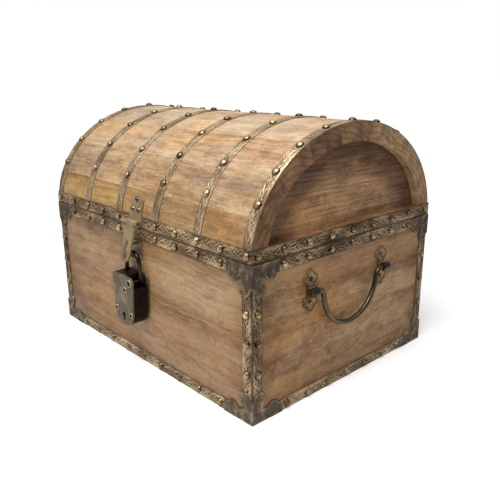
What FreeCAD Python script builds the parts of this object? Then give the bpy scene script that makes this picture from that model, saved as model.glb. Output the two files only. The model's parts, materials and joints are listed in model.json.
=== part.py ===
import FreeCAD, Part
import math
import os

# A wooden treasure chest with a coopered dome lid, banded with embossed metal strips.
# Millimetres. +Z is up, the front faces -Y, and the origin is the middle of the underside.

# Wooden box
chest_length = 328.0
chest_depth = 252.0
base_height = 143.0
wall_thickness = 12.0
floor_thickness = 10.0

# Dome lid
seam_gap = 0.6
dome_rise = 102.4
stave_thickness = 17.0
stave_count = 9
end_panel_recess = 8.0
end_panel_thickness = 10.0

# Metal trim
strip_thickness = 1.0
band_width = 11.5
strap_width = 11.0
strap_count = 6
foot_height = 11.5
foot_ledge = 8.0
angle_width = 11.5

# Lobed corner pieces: how far each lobe lies from the corner edge and from the rim or the floor
corner_thickness = 1.4
corner_lobe_radius = 7.0
bracket_reach = 30.0
bracket_lobe_along = 20.0
bracket_lobe_drop = 9.8
bracket_tip_along = 7.6
bracket_tip_drop = 21.0
cap_reach = 36.0
cap_lobe_along = 24.0
cap_lobe_rise = 8.3
cap_tip_along = 8.0
cap_tip_rise = 22.5
cap_ledge = 22.0

# Dome-headed nails
nail_radius = 3.1
nail_crown_radius = 1.7
nail_height = 2.0
nail_sides = 8
strap_nail_count = 9
strap_nail_step_deg = 16.0
end_nail_count = 9
end_nail_inset = 6.0
foot_nail_pitch = 29.0
foot_nail_gap = 1.9
small_nail_share = 0.55
angle_nail_shares = (0.32, 0.52, 0.70)

# Lid hinges on the back
hinge_leaf_width = 30.0
hinge_leaf_height = 22.0
hinge_leaf_thickness = 1.5
hinge_barrel_radius = 3.2
hinge_pin_radius = 1.5
hinge_wall_gap = 0.2
hinge_knuckle_length = 9.0

# Hasp on the lid's front
hasp_width = 20.0
hasp_plate_height = 30.0
hasp_plate_thickness = 1.8
hasp_corner_cut = 3.2
hasp_barrel_radius = 3.4
hasp_barrel_length = 18.0
hasp_knuckle_length = 9.0
hasp_pin_radius = 1.3
hasp_axis_rise = 4.4
hasp_wall_gap = 0.5
hasp_strap_width = 16.5
hasp_tip_width = 15.5
hasp_strap_thickness = 1.8
hasp_strap_length = 39.0
hasp_slot_width = 5.4
hasp_slot_length = 19.0
hasp_rivet_radius = 2.7
hasp_rivet_height = 1.7

# Staple on the base's front
staple_rod_radius = 1.3
staple_plate_width = 16.0
staple_plate_height = 18.0
staple_plate_thickness = 1.2
staple_drop = 22.0
eye_drop_share = 0.6

# Padlock
lock_width = 36.0
lock_height = 53.0
lock_depth = 19.5
lock_plate_thickness = 1.7
lock_wall_gap = 0.6
lock_taper = 1.5
lock_shoulder_radius = 4.0
lock_ear_radius = 6.5
lock_pin_radius = 2.0
lock_tang_radius = 4.4
lock_pocket_margin = 1.1
lock_rivet_radius = 2.3
lock_rivet_height = 1.2
lock_rivet_shares = ((-0.37, 0.29), (0.34, 0.25), (0.10, 0.72))
shackle_radius = 2.2
shackle_depth = 6.4
shackle_rise = 20.6
socket_clearance = 1.2
toe_depth = 6.5
keyhole_radius = 2.2
keyhole_slot_width = 1.8
keyhole_slot_length = 6.0
keyhole_share = 0.22
keyhole_recess = 3.0

# Bail handles on the ends
handle_span = 103.0
handle_forward = 6.0
handle_rim_gap = 7.0
handle_plate_length = 39.0
handle_plate_thickness = 2.0
handle_waist_width = 8.0
handle_lobe_radius = 4.4
handle_lobe_spread = 4.1
eye_radius = 4.8
eye_length = 8.0
bail_radius = 2.5
bail_standoff = 6.0
bail_bend_radius = 7.0
bail_leg = 6.0
bail_bend_deg = 78.0
bail_head_radius = 3.4
bail_head_thickness = 1.4

# Fits
running_gap = 0.05
play = 0.3
overrun = 20.0

half_length = chest_length / 2
half_depth = chest_depth / 2
lid_bottom = base_height + seam_gap
hinge_y = half_depth + hinge_wall_gap + hinge_barrel_radius
hinge_z = base_height + seam_gap / 2
hasp_axis_y = -half_depth - hasp_wall_gap - hasp_barrel_radius
hasp_axis_z = lid_bottom + hasp_axis_rise
lock_back_y = -half_depth - lock_wall_gap
shackle_y = lock_back_y - shackle_depth
staple_z = base_height - staple_drop
eye_shift = shackle_radius
eye_drop = shackle_radius * eye_drop_share
staple_eye_y = shackle_y + eye_shift
staple_eye_radius = math.hypot(eye_shift, eye_drop) + shackle_radius + play
staple_ring_radius = staple_eye_radius + staple_rod_radius
staple_outer_radius = staple_eye_radius + 2 * staple_rod_radius
shackle_top_z = staple_z - eye_drop
lock_top_z = shackle_top_z - shackle_rise
lock_pin_x = lock_width / 2 - lock_ear_radius
lock_pin_z = lock_top_z - lock_ear_radius
bail_x = half_length + bail_standoff
handle_height = base_height - band_width - handle_rim_gap - handle_plate_length / 2
handle_lobe_z = handle_plate_length / 2 - handle_lobe_spread - handle_lobe_radius
handle_places = (-handle_forward - handle_span / 2, -handle_forward + handle_span / 2)

X_AXIS = FreeCAD.Vector(1, 0, 0)
Y_AXIS = FreeCAD.Vector(0, 1, 0)
Z_AXIS = FreeCAD.Vector(0, 0, 1)
ORIGIN = FreeCAD.Vector(0, 0, 0)
RIGHT = 1
LEFT = -1
BACK = 1
FRONT = -1


def vec(x, y, z):
    return FreeCAD.Vector(x, y, z)


def block(x0, x1, y0, y1, z0, z1):
    """A box between two corners."""
    return Part.makeBox(x1 - x0, y1 - y0, z1 - z0, vec(x0, y0, z0))


def mirrored_x(shape, side):
    """The shape as made for the right, or its mirror image for the left."""
    return shape if side == RIGHT else shape.mirror(ORIGIN, X_AXIS)


def mirrored_y(shape, side):
    """The shape as made for the back, or its mirror image for the front."""
    return shape if side == BACK else shape.mirror(ORIGIN, Y_AXIS)


def joined(shapes):
    """One solid from shapes that overlap or share a face."""
    return shapes[0].fuse(shapes[1:]).removeSplitter()


def bent_rod(radius, edges, start, direction):
    """A round rod along lines and arcs that run on smoothly."""
    path = Part.Wire([edge.toShape() for edge in edges])
    section = Part.Wire(Part.makeCircle(radius, start, direction))
    return path.makePipeShell([section], True, False)


def save(name, shapes):
    """Write one node. A list is a group of separate solids."""
    shape = Part.makeCompound(shapes) if isinstance(shapes, list) else shapes
    shape.exportStep("parts/" + name + ".step")


# The lid's section is a half ellipse that stands on the seam.


def dome_prism(offset, x0, x1):
    """The dome's elliptical cylinder, grown by an offset, between two places along the chest."""
    wide = half_depth + offset
    tall = dome_rise + offset
    centre = vec(x0, 0, lid_bottom)
    side_point = vec(x0, wide, lid_bottom)
    top_point = vec(x0, 0, lid_bottom + tall)
    if wide >= tall:
        curve = Part.Ellipse(side_point, top_point, centre)
    else:
        curve = Part.Ellipse(top_point, vec(x0, -wide, lid_bottom), centre)
    face = Part.Face(Part.Wire(curve.toShape()))
    return face.extrude(vec(x1 - x0, 0, 0))


def dome_shell(inner, outer, x0, x1):
    """The layer between two offsets of the dome."""
    return dome_prism(outer, x0, x1).cut(dome_prism(inner, x0, x1))


def dome_place(angle_deg, offset=0):
    """Y and Z of a point on the dome, with the angle counted from the front seam."""
    angle = math.radians(angle_deg)
    y = -(half_depth + offset) * math.cos(angle)
    z = lid_bottom + (dome_rise + offset) * math.sin(angle)
    return y, z


def dome_normal(angle_deg, offset=0):
    """Outward direction of the dome at an angle from the front seam."""
    angle = math.radians(angle_deg)
    y = -(dome_rise + offset) * math.cos(angle)
    z = (half_depth + offset) * math.sin(angle)
    return vec(0, y, z)


def above_seam(x0, x1, z0, z1):
    """A slab that keeps what lies between two heights of the lid."""
    reach = half_depth + overrun
    return block(x0, x1, -reach, reach, z0, z1)


# Fasteners


def nail_head(place, normal, size_share=1):
    """A forged nail head: a faceted dome that sits on the surface."""
    low = []
    high = []
    base = nail_radius * size_share
    crown = nail_crown_radius * size_share
    for i in range(nail_sides + 1):
        turn = 2 * math.pi * i / nail_sides
        low.append(vec(base * math.cos(turn), base * math.sin(turn), 0))
        high.append(vec(crown * math.cos(turn), crown * math.sin(turn), nail_height * size_share))
    head = Part.makeLoft([Part.makePolygon(low), Part.makePolygon(high)], True, True)
    head.Placement = FreeCAD.Placement(place, FreeCAD.Rotation(Z_AXIS, normal))
    return head


def rivet_head(radius, height, place, normal):
    """A low round rivet head."""
    return Part.makeCone(radius, radius / 2, height, place, normal)


def strap_places():
    """Middle of each strap along the chest. The outer two are flush with the lid's ends."""
    outer = half_length - strap_width / 2
    pitch = 2 * outer / (strap_count - 1)
    return [-outer + i * pitch for i in range(strap_count)]


def long_row():
    """Nail places along the front and back bands: at each strap and halfway between."""
    places = strap_places()
    between = [(a + b) / 2 for a, b in zip(places, places[1:])]
    return sorted(places + between)


def end_row():
    """Nail places along the end bands."""
    first = half_depth - end_nail_inset
    pitch = 2 * first / (end_nail_count - 1)
    return [-first + i * pitch for i in range(end_nail_count)]


def foot_row(half):
    """Nail places along a foot strip, spread evenly from one corner cap to the other."""
    first = half - cap_reach - nail_radius - foot_nail_gap
    gaps = round(2 * first / foot_nail_pitch)
    return [-first + 2 * first * i / gaps for i in range(gaps + 1)]


def hinge_places():
    """Middle of each hinge: halfway between the second and third straps from each end."""
    inner, outer = strap_places()[-3:-1]
    middle = (inner + outer) / 2
    return [-middle, middle]


def clear_of_hinges(x):
    reach = hinge_leaf_width / 2 + nail_radius
    return all(abs(x - place) > reach for place in hinge_places())


def clear_of_hasp(x):
    return abs(x) > hasp_width / 2 + nail_radius


def clear_of_brackets(place, half):
    return abs(place) < half - bracket_reach - nail_radius


# Wooden box


def bottom_board():
    """Floor board, let in along its edges for the foot strips and corner caps."""
    board = block(-half_length, half_length, -half_depth, half_depth, 0, floor_thickness)
    inner = block(foot_ledge - half_length, half_length - foot_ledge,
                  foot_ledge - half_depth, half_depth - foot_ledge, 0, strip_thickness)
    edge = block(-half_length, half_length, -half_depth, half_depth, 0, strip_thickness).cut(inner)
    corners = []
    for side in (RIGHT, LEFT):
        for face in (BACK, FRONT):
            corner = block(half_length - cap_ledge, half_length, half_depth - cap_ledge, half_depth,
                           0, strip_thickness)
            corners.append(mirrored_y(mirrored_x(corner, side), face))
    return board.cut(edge).cut(Part.makeCompound(corners))


def long_board(face):
    """Front or back board, as long as the chest."""
    board = block(-half_length, half_length, half_depth - wall_thickness, half_depth,
                  floor_thickness, base_height)
    return mirrored_y(board, face)


def end_board(side):
    """End board, held between the front and back boards."""
    reach = half_depth - wall_thickness
    board = block(half_length - wall_thickness, half_length, -reach, reach, floor_thickness, base_height)
    return mirrored_x(board, side)


# Corner pieces, made for the right back corner and mirrored to the others


def lobed_plate(reach, band, lobe, tip):
    """One leaf of a corner piece, in X (away from the corner edge) and Z, with a lobe and a round tip."""
    along = block(0, reach, 0, corner_thickness, 0, band)
    upright = block(0, angle_width, 0, corner_thickness, 0, tip[1])
    rounds = [Part.makeCylinder(corner_lobe_radius, corner_thickness, vec(x, 0, z), Y_AXIS)
              for x, z in (lobe, tip)]
    return joined([along, upright] + rounds)


def corner_leaves(reach, band, lobe, tip):
    """Two lobed leaves that meet round the corner edge, standing up from Z = 0."""
    leaf = lobed_plate(reach, band, lobe, tip)
    on_back = leaf.mirror(ORIGIN, X_AXIS)
    on_back.translate(vec(half_length, half_depth, 0))
    on_end = leaf.copy()
    on_end.rotate(ORIGIN, Z_AXIS, -90)
    on_end.translate(vec(half_length, half_depth, 0))
    edge = block(half_length, half_length + corner_thickness, half_depth, half_depth + corner_thickness,
                 0, tip[1])
    return [on_back, on_end, edge]


def corner_cap():
    """Bottom corner cap: two lobed leaves and a ledge let into the underside."""
    ledge = block(half_length - cap_ledge, half_length + corner_thickness,
                  half_depth - cap_ledge, half_depth + corner_thickness, 0, strip_thickness)
    leaves = corner_leaves(cap_reach, foot_height, (cap_lobe_along, cap_lobe_rise), (cap_tip_along, cap_tip_rise))
    return joined(leaves + [ledge])


def corner_bracket():
    """Top corner bracket: the two leaves turned over, hanging from the rim."""
    lobe = (bracket_lobe_along, bracket_lobe_drop)
    tip = (bracket_tip_along, bracket_tip_drop)
    bracket = joined(corner_leaves(bracket_reach, band_width, lobe, tip))
    middle = vec(0, 0, base_height / 2)
    return bracket.mirror(middle, Z_AXIS)


def four_corners(shape):
    """The shape at all four corners of the box."""
    return [mirrored_y(mirrored_x(shape, side), face) for side in (RIGHT, LEFT) for face in (BACK, FRONT)]


def corner_angle(cap, bracket):
    """Embossed angle strip on a vertical edge, between the cap and the bracket."""
    on_back = block(half_length - angle_width, half_length, half_depth, half_depth + strip_thickness,
                    0, base_height)
    on_end = block(half_length, half_length + strip_thickness, half_depth - angle_width,
                   half_depth + strip_thickness, 0, base_height)
    return joined([on_back, on_end]).cut(cap).cut(bracket)


# Bands


def base_bands(caps, brackets):
    """Rim bands and foot strips on the four sides of the box."""
    rim_z = base_height - band_width
    outer_y = half_depth + strip_thickness
    outer_x = half_length + strip_thickness
    rim_back = block(-half_length, half_length, half_depth, outer_y, rim_z, base_height)
    rim_end = block(half_length, outer_x, -half_depth, half_depth, rim_z, base_height)
    foot_back = joined([
        block(-half_length, half_length, half_depth, outer_y, 0, foot_height),
        block(-half_length, half_length, half_depth - foot_ledge, half_depth, 0, strip_thickness)])
    foot_end = joined([
        block(half_length, outer_x, -half_depth, half_depth, 0, foot_height),
        block(half_length - foot_ledge, half_length, -half_depth, half_depth, 0, strip_thickness)])
    bands = {
        "rim_band_front": mirrored_y(rim_back, FRONT).cut(brackets),
        "rim_band_back": rim_back.cut(brackets).cut(hinge_footprints()),
        "rim_band_left": mirrored_x(rim_end, LEFT).cut(brackets),
        "rim_band_right": rim_end.cut(brackets),
        "foot_band_front": mirrored_y(foot_back, FRONT).cut(caps),
        "foot_band_back": foot_back.cut(caps),
        "foot_band_left": mirrored_x(foot_end, LEFT).cut(caps),
        "foot_band_right": foot_end.cut(caps),
    }
    return bands


def hinge_footprints():
    """What the hinge leaves cover on the back, with a little play."""
    half = hinge_leaf_width / 2 + play
    cuts = []
    for x in hinge_places():
        cuts.append(block(x - half, x + half, half_depth - overrun, half_depth + overrun,
                          base_height - hinge_leaf_height, lid_bottom + hinge_leaf_height))
    return Part.makeCompound(cuts)


def lid_bands():
    """Bands round the lid's lower edge. The long two follow the dome's curve."""
    top = lid_bottom + band_width
    ring = dome_shell(0, strip_thickness, -half_length, half_length)
    ring = ring.common(above_seam(-half_length, half_length, lid_bottom, top))
    half = half_depth + overrun
    back = ring.common(block(-half_length, half_length, 0, half, lid_bottom, top))
    front = ring.common(block(-half_length, half_length, -half, 0, lid_bottom, top))
    notch = block(-hasp_width / 2 - play, hasp_width / 2 + play, -half, 0, lid_bottom, top)
    outer_x = half_length + strip_thickness
    end = block(half_length, outer_x, -half, half, lid_bottom, top)
    end = end.common(dome_prism(strip_thickness, half_length, outer_x))
    return {
        "lid_band_front": front.cut(notch),
        "lid_band_back": back.cut(hinge_footprints()),
        "lid_band_left": mirrored_x(end, LEFT),
        "lid_band_right": end,
    }


def strap(x):
    """Curved strap over the dome, from the front band to the back band."""
    x0 = x - strap_width / 2
    x1 = x + strap_width / 2
    ring = dome_shell(0, strip_thickness, x0, x1)
    return ring.common(above_seam(x0, x1, lid_bottom + band_width, lid_bottom + dome_rise + overrun))


# Lid wood


def stave(index):
    """One coopered stave of the dome, with joints square to the curve."""
    first = 180.0 * index / stave_count
    last = 180.0 * (index + 1) / stave_count
    shell = dome_shell(-stave_thickness, 0, -half_length, half_length)
    corners = []
    for angle, steps in ((first, (-2, 1)), (last, (1, -2))):
        y, z = dome_place(angle)
        across = dome_normal(angle)
        across.normalize()
        for step in steps:
            corners.append(vec(-half_length, y, z) + across * (step * stave_thickness))
    wedge = Part.Face(Part.makePolygon(corners + corners[:1])).extrude(vec(chest_length, 0, 0))
    return shell.common(wedge)


def lid_end_panel(side):
    """Half-round panel set back inside the end of the dome."""
    outer = half_length - end_panel_recess
    inner = outer - end_panel_thickness
    panel = dome_prism(-stave_thickness, inner, outer)
    panel = panel.common(above_seam(inner, outer, lid_bottom, lid_bottom + dome_rise))
    return mirrored_x(panel, side)


def lid_end_rail(side):
    """Rail in front of the end panel, flush with the staves' ends, that carries the end band."""
    inner = half_length - end_panel_recess
    rail = dome_prism(-stave_thickness, inner, half_length)
    rail = rail.common(above_seam(inner, half_length, lid_bottom, lid_bottom + band_width))
    return mirrored_x(rail, side)


# Hinges


def barrel(radius, x0, x1, y, z):
    """A round bar along X."""
    return Part.makeCylinder(radius, x1 - x0, vec(x0, y, z), X_AXIS)


def hinge_bore(x):
    half = hinge_leaf_width / 2
    return barrel(hinge_pin_radius + running_gap, x - half - overrun, x + half + overrun, hinge_y, hinge_z)


def base_hinge_leaf(x):
    """Leaf on the back board with the two outer knuckles."""
    half = hinge_leaf_width / 2
    inner = hinge_knuckle_length / 2
    leaf = block(x - half, x + half, half_depth, half_depth + hinge_leaf_thickness,
                 base_height - hinge_leaf_height, base_height)
    room = barrel(hinge_barrel_radius + play, x - inner - play, x + inner + play, hinge_y, hinge_z)
    left = barrel(hinge_barrel_radius, x - half, x - inner - play, hinge_y, hinge_z)
    right = barrel(hinge_barrel_radius, x + inner + play, x + half, hinge_y, hinge_z)
    return joined([leaf.cut(room), left, right]).cut(hinge_bore(x))


def lid_hinge_leaf(x):
    """Leaf bent to the dome's back with the middle knuckle."""
    half = hinge_leaf_width / 2
    inner = hinge_knuckle_length / 2
    leaf = dome_shell(0, hinge_leaf_thickness, x - half, x + half)
    leaf = leaf.common(block(x - half, x + half, 0, half_depth + overrun,
                             lid_bottom, lid_bottom + hinge_leaf_height))
    for side in (LEFT, RIGHT):
        x0, x1 = sorted((x + side * inner, x + side * (half + overrun)))
        leaf = leaf.cut(barrel(hinge_barrel_radius + play, x0, x1, hinge_y, hinge_z))
    middle = barrel(hinge_barrel_radius, x - inner, x + inner, hinge_y, hinge_z)
    return joined([leaf, middle]).cut(hinge_bore(x))


def hinge_pin(x):
    half = hinge_leaf_width / 2
    return barrel(hinge_pin_radius, x - half, x + half, hinge_y, hinge_z)


# Hasp


def hasp_lean_deg():
    """How far the strap leans out so that it hangs just clear of the staple."""
    across = hasp_axis_y - staple_eye_y
    down = staple_z - hasp_axis_z
    reach = hasp_barrel_radius - hasp_strap_thickness - play - staple_outer_radius
    angle = math.atan2(down, across) + math.acos(reach / math.hypot(across, down))
    return math.degrees(angle)


def hasp_plate():
    """Plate bent to the dome's front, with cut top corners and the two outer knuckles."""
    half = hasp_width / 2
    top = lid_bottom + hasp_plate_height
    shoulder = top - hasp_corner_cut
    outline = [vec(-half, 0, lid_bottom), vec(half, 0, lid_bottom), vec(half, 0, shoulder),
               vec(half - hasp_corner_cut, 0, top), vec(hasp_corner_cut - half, 0, top),
               vec(-half, 0, shoulder), vec(-half, 0, lid_bottom)]
    mask = Part.Face(Part.makePolygon(outline)).extrude(vec(0, -half_depth - overrun, 0))
    plate = dome_shell(0, hasp_plate_thickness, -half, half).common(mask)
    inner = hasp_knuckle_length / 2 + play
    end = hasp_barrel_length / 2
    below = block(-half, half, -half_depth - overrun, -half_depth + overrun, lid_bottom, hasp_axis_z)
    plate = plate.cut(below)
    room = barrel(hasp_barrel_radius + play, -inner, inner, hasp_axis_y, hasp_axis_z)
    left = barrel(hasp_barrel_radius, -end, -inner, hasp_axis_y, hasp_axis_z)
    right = barrel(hasp_barrel_radius, inner, end, hasp_axis_y, hasp_axis_z)
    bore = barrel(hasp_pin_radius + running_gap, -end - overrun, end + overrun, hasp_axis_y, hasp_axis_z)
    return joined([plate.cut(room), left, right]).cut(bore)


def hasp_pin():
    end = hasp_barrel_length / 2
    return barrel(hasp_pin_radius, -end, end, hasp_axis_y, hasp_axis_z)


def hasp_strap():
    """Slotted strap on the middle knuckle, drawn hanging straight and then leaned out."""
    half = hasp_strap_width / 2
    tip = hasp_tip_width / 2
    low = -hasp_strap_length
    inner_y = hasp_strap_thickness - hasp_barrel_radius
    outline = [vec(-half, inner_y, 0), vec(half, inner_y, 0), vec(half, inner_y, low / 2),
               vec(tip, inner_y, low + tip), vec(-tip, inner_y, low + tip), vec(-half, inner_y, low / 2),
               vec(-half, inner_y, 0)]
    blade = Part.Face(Part.makePolygon(outline)).extrude(vec(0, -hasp_strap_thickness, 0))
    nose = Part.makeCylinder(tip, hasp_strap_thickness, vec(0, inner_y, low + tip), -Y_AXIS)
    clear = hasp_barrel_radius + play
    side_room = block(-half - overrun, half + overrun, -clear, clear, -clear, clear)
    knuckle_half = hasp_knuckle_length / 2
    side_room = side_room.cut(block(-knuckle_half, knuckle_half, -clear, clear, -clear, clear))
    knuckle = barrel(hasp_barrel_radius, -knuckle_half, knuckle_half, 0, 0)
    bore = barrel(hasp_pin_radius + running_gap, -half, half, 0, 0)
    slot_top = staple_z - hasp_axis_z + hasp_slot_length / 2
    slot_low = staple_z - hasp_axis_z - hasp_slot_length / 2
    slot_half = hasp_slot_width / 2
    slot = block(-slot_half, slot_half, -hasp_barrel_radius - overrun, overrun,
                 slot_low + slot_half, slot_top - slot_half)
    slot_ends = [Part.makeCylinder(slot_half, 2 * overrun, vec(0, overrun, z), -Y_AXIS)
                 for z in (slot_low + slot_half, slot_top - slot_half)]
    strap_shape = joined([joined([blade, nose]).cut(side_room), knuckle]).cut(bore)
    strap_shape = strap_shape.cut(joined([slot] + slot_ends))
    strap_shape.rotate(ORIGIN, X_AXIS, -hasp_lean_deg())
    strap_shape.translate(vec(0, hasp_axis_y, hasp_axis_z))
    return strap_shape


def hasp_rivets():
    """One rivet over two on the hasp's plate."""
    rise = hasp_plate_height - hasp_corner_cut
    low = (hasp_axis_rise + hasp_barrel_radius + rise) / 2
    heads = []
    for x, height in ((0, rise), (-hasp_width / 4, low), (hasp_width / 4, low)):
        angle = math.degrees(math.asin(height / (dome_rise + hasp_plate_thickness)))
        y, z = dome_place(angle, hasp_plate_thickness)
        heads.append(rivet_head(hasp_rivet_radius, hasp_rivet_height, vec(x, y, z),
                                dome_normal(angle, hasp_plate_thickness)))
    return heads


def hasp_staple():
    """Nailed plate with a forged eye that stands out of the front."""
    half = staple_plate_width / 2
    face_y = -half_depth - staple_plate_thickness
    plate = block(-half, half, face_y, -half_depth, staple_z - staple_plate_height / 2,
                  staple_z + staple_plate_height / 2)
    plate = plate.common(block(-half, half, face_y, -half_depth, 0, base_height - band_width))
    low = staple_z - staple_ring_radius
    high = staple_z + staple_ring_radius
    low_root = vec(0, -half_depth, low)
    low_turn = vec(0, staple_eye_y, low)
    crown = vec(0, staple_eye_y - staple_ring_radius, staple_z)
    high_turn = vec(0, staple_eye_y, high)
    high_root = vec(0, -half_depth, high)
    edges = [Part.LineSegment(low_root, low_turn), Part.Arc(low_turn, crown, high_turn),
             Part.LineSegment(high_turn, high_root)]
    return joined([plate, bent_rod(staple_rod_radius, edges, low_root, -Y_AXIS)])


# Padlock, drawn in X and Z with its depth along Y


def lock_outline(y):
    """Face of the lock's shield outline at a depth."""
    half = lock_width / 2
    low_half = half - lock_taper
    top = lock_top_z
    round_z = top - lock_height + low_half
    ear_x = half - lock_ear_radius
    ear_z = top - lock_ear_radius
    left_x = lock_shoulder_radius - half
    left_z = top - lock_shoulder_radius
    bend = 1 / math.sqrt(2)
    points = {
        "left": vec(-half, y, left_z),
        "left_bend": vec(left_x - lock_shoulder_radius * bend, y, left_z + lock_shoulder_radius * bend),
        "top_left": vec(left_x, y, top),
        "top_right": vec(ear_x, y, top),
        "ear_bend": vec(ear_x + lock_ear_radius * bend, y, ear_z + lock_ear_radius * bend),
        "right": vec(half, y, ear_z),
        "low_right": vec(low_half, y, round_z),
        "bottom": vec(0, y, round_z - low_half),
        "low_left": vec(-low_half, y, round_z),
    }
    edges = [
        Part.Arc(points["left"], points["left_bend"], points["top_left"]),
        Part.LineSegment(points["top_left"], points["top_right"]),
        Part.Arc(points["top_right"], points["ear_bend"], points["right"]),
        Part.LineSegment(points["right"], points["low_right"]),
        Part.Arc(points["low_right"], points["bottom"], points["low_left"]),
        Part.LineSegment(points["low_left"], points["left"]),
    ]
    return Part.Face(Part.Wire([edge.toShape() for edge in edges]))


def lock_layer(y0, y1):
    """The shield outline between two depths."""
    return lock_outline(y0).extrude(vec(0, y1 - y0, 0))


def lock_pin(radius):
    """The heel pin through the lock, or its hole."""
    return Part.makeCylinder(radius, lock_depth, vec(lock_pin_x, lock_back_y, lock_pin_z), -Y_AXIS)


def keyhole(y0, y1):
    """Round hole over a slot, between two depths."""
    z = lock_top_z - lock_height * (1 - keyhole_share)
    hole = Part.makeCylinder(keyhole_radius, y1 - y0, vec(0, y0, z), Y_AXIS)
    slot_half = keyhole_slot_width / 2
    slot = block(-slot_half, slot_half, y0, y1, z - keyhole_slot_length, z)
    return joined([hole, slot])


def padlock_plates():
    """Back plate, case and front plate, from the chest outwards."""
    back_y = lock_back_y - lock_plate_thickness
    face_y = lock_back_y - lock_depth
    front_y = face_y + lock_plate_thickness
    hole = lock_pin(lock_pin_radius + running_gap)
    pocket_reach = lock_tang_radius + lock_pocket_margin
    pocket = block(lock_pin_x - pocket_reach, lock_width / 2 + overrun, front_y, back_y,
                   lock_pin_z - pocket_reach, lock_top_z + overrun)
    socket = Part.makeCylinder(shackle_radius + socket_clearance, toe_depth + overrun,
                               vec(-lock_pin_x, shackle_y, lock_top_z - toe_depth - socket_clearance), Z_AXIS)
    case = lock_layer(front_y, back_y).cut(pocket).cut(socket)
    case = case.cut(keyhole(front_y, front_y + keyhole_recess))
    back = lock_layer(back_y, lock_back_y).cut(hole)
    front = lock_layer(face_y, front_y).cut(hole).cut(keyhole(face_y, front_y))
    return back, case, front


def padlock_rivets():
    """Round rivet heads on the front plate."""
    face_y = lock_back_y - lock_depth
    low_z = lock_top_z - lock_height
    heads = []
    for x_share, z_share in lock_rivet_shares:
        place = vec(x_share * lock_width, face_y, low_z + z_share * lock_height)
        heads.append(rivet_head(lock_rivet_radius, lock_rivet_height, place, -Y_AXIS))
    pin_end = vec(lock_pin_x, face_y, lock_pin_z)
    heads.append(rivet_head(lock_pin_radius + lock_rivet_height, lock_rivet_height, pin_end, -Y_AXIS))
    return heads


def shackle():
    """Bent rod with a tang on the heel pin and a toe that drops into the case."""
    arch = lock_pin_x
    arch_z = shackle_top_z - arch
    toe = vec(-arch, shackle_y, lock_top_z - toe_depth)
    toe_top = vec(-arch, shackle_y, arch_z)
    crown = vec(0, shackle_y, shackle_top_z)
    heel_top = vec(arch, shackle_y, arch_z)
    heel = vec(arch, shackle_y, lock_pin_z)
    edges = [Part.LineSegment(toe, toe_top), Part.Arc(toe_top, crown, heel_top),
             Part.LineSegment(heel_top, heel)]
    rod = bent_rod(shackle_radius, edges, toe, Z_AXIS)
    tang_y = shackle_y - shackle_radius
    tang = Part.makeCylinder(lock_tang_radius, 2 * shackle_radius, vec(arch, tang_y, lock_pin_z), Y_AXIS)
    return joined([rod, tang]).cut(lock_pin(lock_pin_radius + running_gap))


# Handles, made for the right end and mirrored to the left


def handle_plate(y):
    """Trefoil plate nailed to the end, with a forged eye at its waist."""
    waist = handle_waist_width / 2
    face_x = half_length + handle_plate_thickness
    pieces = [block(half_length, face_x, -waist, waist, -handle_lobe_z, handle_lobe_z)]
    for end in (-1, 1):
        places = ((-handle_lobe_spread, 0), (handle_lobe_spread, 0), (0, end * handle_lobe_spread))
        for across, out in places:
            centre = vec(half_length, across, end * handle_lobe_z + out)
            pieces.append(Part.makeCylinder(handle_lobe_radius, handle_plate_thickness, centre, X_AXIS))
    eye_half = eye_length / 2
    start = vec(bail_x, -eye_half, 0)
    pieces.append(Part.makeCylinder(eye_radius, eye_length, start, Y_AXIS))
    neck_half = eye_radius - bail_radius / 2
    pieces.append(block(half_length, bail_x, -eye_half, eye_half, -neck_half, neck_half))
    bore = Part.makeCylinder(bail_radius + running_gap, 2 * overrun, vec(bail_x, -overrun, 0), Y_AXIS)
    plate = joined(pieces).cut(bore)
    plate.translate(vec(0, y, handle_height))
    return plate


def bail():
    """Hanging handle: a bent rod whose ends turn outwards through the eyes."""
    bend = math.radians(bail_bend_deg)
    inner = handle_span / 2 - eye_length / 2 - play - bail_head_thickness
    outer = handle_span / 2 + eye_length / 2 + play
    sweep = (inner - bail_leg * math.cos(bend)) / math.sin(bend) - bail_bend_radius
    mid = bend / 2
    corner_y = inner - bail_bend_radius * math.sin(bend)
    corner_z = -bail_bend_radius * (1 - math.cos(bend))
    leg_y = corner_y - bail_leg * math.cos(bend)
    leg_z = corner_z - bail_leg * math.sin(bend)
    bottom_z = leg_z - sweep * (1 - math.cos(bend))

    def at(y, z):
        return vec(bail_x, y - handle_forward, handle_height + z)

    def bend_middle(side):
        return at(side * (inner - bail_bend_radius * math.sin(mid)), -bail_bend_radius * (1 - math.cos(mid)))

    edges = [
        Part.LineSegment(at(-outer, 0), at(-inner, 0)),
        Part.Arc(at(-inner, 0), bend_middle(-1), at(-corner_y, corner_z)),
        Part.LineSegment(at(-corner_y, corner_z), at(-leg_y, leg_z)),
        Part.Arc(at(-leg_y, leg_z), at(0, bottom_z), at(leg_y, leg_z)),
        Part.LineSegment(at(leg_y, leg_z), at(corner_y, corner_z)),
        Part.Arc(at(corner_y, corner_z), bend_middle(1), at(inner, 0)),
        Part.LineSegment(at(inner, 0), at(outer, 0)),
    ]
    rod = bent_rod(bail_radius, edges, at(-outer, 0), Y_AXIS)
    heads = [
        Part.makeCylinder(bail_head_radius, bail_head_thickness, at(outer, 0), Y_AXIS),
        Part.makeCylinder(bail_head_radius, bail_head_thickness, at(-outer, 0), -Y_AXIS),
    ]
    return joined([rod] + heads)


# Nail groups


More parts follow.
